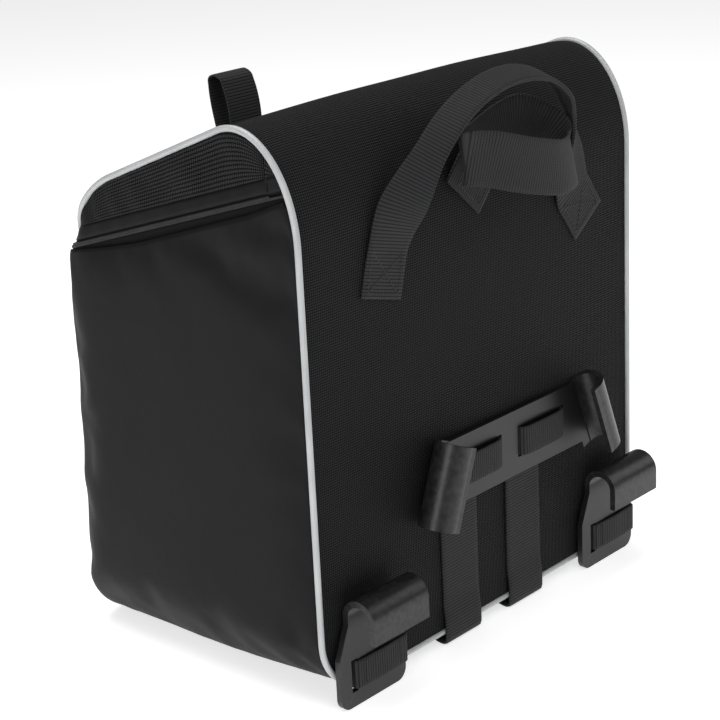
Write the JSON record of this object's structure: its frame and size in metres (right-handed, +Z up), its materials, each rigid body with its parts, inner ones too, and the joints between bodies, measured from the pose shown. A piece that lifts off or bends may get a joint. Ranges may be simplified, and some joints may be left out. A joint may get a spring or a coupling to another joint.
{
  "type": "pannier bag",
  "caption": "Boxy black bicycle pannier with a sloping zipped lid, grey piping, rail hooks, a stay bracket and a webbing carry strap on its back",
  "frame": {"origin": "middle of the bounding box on the surface that it stands on", "axes": "+Z up; +Y out of the back that faces the rack; X along the width, parallel to the rail"},
  "size_m": [0.3612, 0.2901, 0.4091],
  "materials": {
    "textured_fabric": "coarse basket-weave polyester, matt",
    "satin_fabric": "smooth woven polyester with a satin sheen",
    "webbing": "ribbed polyester webbing",
    "piping": "reflective grey piping",
    "moulded_plastic": "fine-grained moulded nylon",
    "zip_tape": "zip tape with a nylon coil",
    "zip_metal": "black enamelled zinc",
    "board": "polyethylene board",
    "foam": "closed-cell foam",
    "lining": "smooth grey lining cloth"
  },
  "bodies": {
    "bag": {"back_panel": "textured_fabric", "gusset": "satin_fabric", "front_panel": "satin_fabric", "back_board": "board", "bottom_board": "board", "side_foam": "foam", "lining": "lining", "body_piping": "piping", "lower_zip_tape": "zip_tape", "carry_strap_ends": "webbing", "hand_loop_end": "webbing", "left_hook_webbing": "webbing", "right_hook_webbing": "webbing", "left_rail_hook": "moulded_plastic", "right_rail_hook": "moulded_plastic", "stay_bracket": "moulded_plastic", "left_bracket_webbing": "webbing", "right_bracket_webbing": "webbing", "left_back_strap": "webbing", "right_back_strap": "webbing"},
    "lid": {"lid_panel": "textured_fabric", "lid_sides": "textured_fabric", "lid_zip_strip": "satin_fabric", "upper_zip_tape": "zip_tape", "lid_board": "board", "lid_piping": "piping"},
    "pull_loop": {"pull_loop": "webbing"},
    "carry_strap": {"carry_strap": "webbing"},
    "hand_loop": {"hand_loop": "webbing"},
    "left_zip_slider": {"left_zip_slider": "zip_metal"},
    "right_zip_slider": {"right_zip_slider": "zip_metal"},
    "left_zip_pull": {"left_zip_pull": "zip_metal"},
    "right_zip_pull": {"right_zip_pull": "zip_metal"}
  },
  "joints": [
    {"name": "lid_hinge", "type": "hinge", "parent": "bag", "child": "lid", "pos_m": [0, 0.0751, 0.38524], "axis": [-1, 0, 0], "range_deg": [0, 110]},
    {"name": "pull_loop_fold", "type": "hinge", "parent": "lid", "child": "pull_loop", "pos_m": [0, -0.1254, 0.3014], "axis": [1, 0, 0], "range_deg": [0, 80]},
    {"name": "carry_strap_fold", "type": "hinge", "parent": "bag", "child": "carry_strap", "pos_m": [0, 0.102, 0.3116], "axis": [-1, 0, 0], "range_deg": [0, 90]},
    {"name": "hand_loop_fold", "type": "hinge", "parent": "bag", "child": "hand_loop", "pos_m": [0, 0.102, 0.3116], "axis": [-1, 0, 0], "range_deg": [0, 90]},
    {"name": "left_zip_slide", "type": "slide", "parent": "bag", "child": "left_zip_slider", "axis": [1, 0, 0], "range_m": [0, 0.138]},
    {"name": "right_zip_slide", "type": "slide", "parent": "bag", "child": "right_zip_slider", "axis": [-1, 0, 0], "range_m": [0, 0.138]},
    {"name": "left_pull_swing", "type": "hinge", "parent": "left_zip_slider", "child": "left_zip_pull", "pos_m": [0.011, -0.1377, 0.288], "axis": [-1, 0, 0], "range_deg": [0, 90]},
    {"name": "right_pull_swing", "type": "hinge", "parent": "right_zip_slider", "child": "right_zip_pull", "pos_m": [-0.011, -0.1377, 0.288], "axis": [-1, 0, 0], "range_deg": [0, 90]}
  ],
  "couplings": [
    {"joint": "hand_loop_fold", "follows": "carry_strap_fold", "ratio": 1}
  ]
}
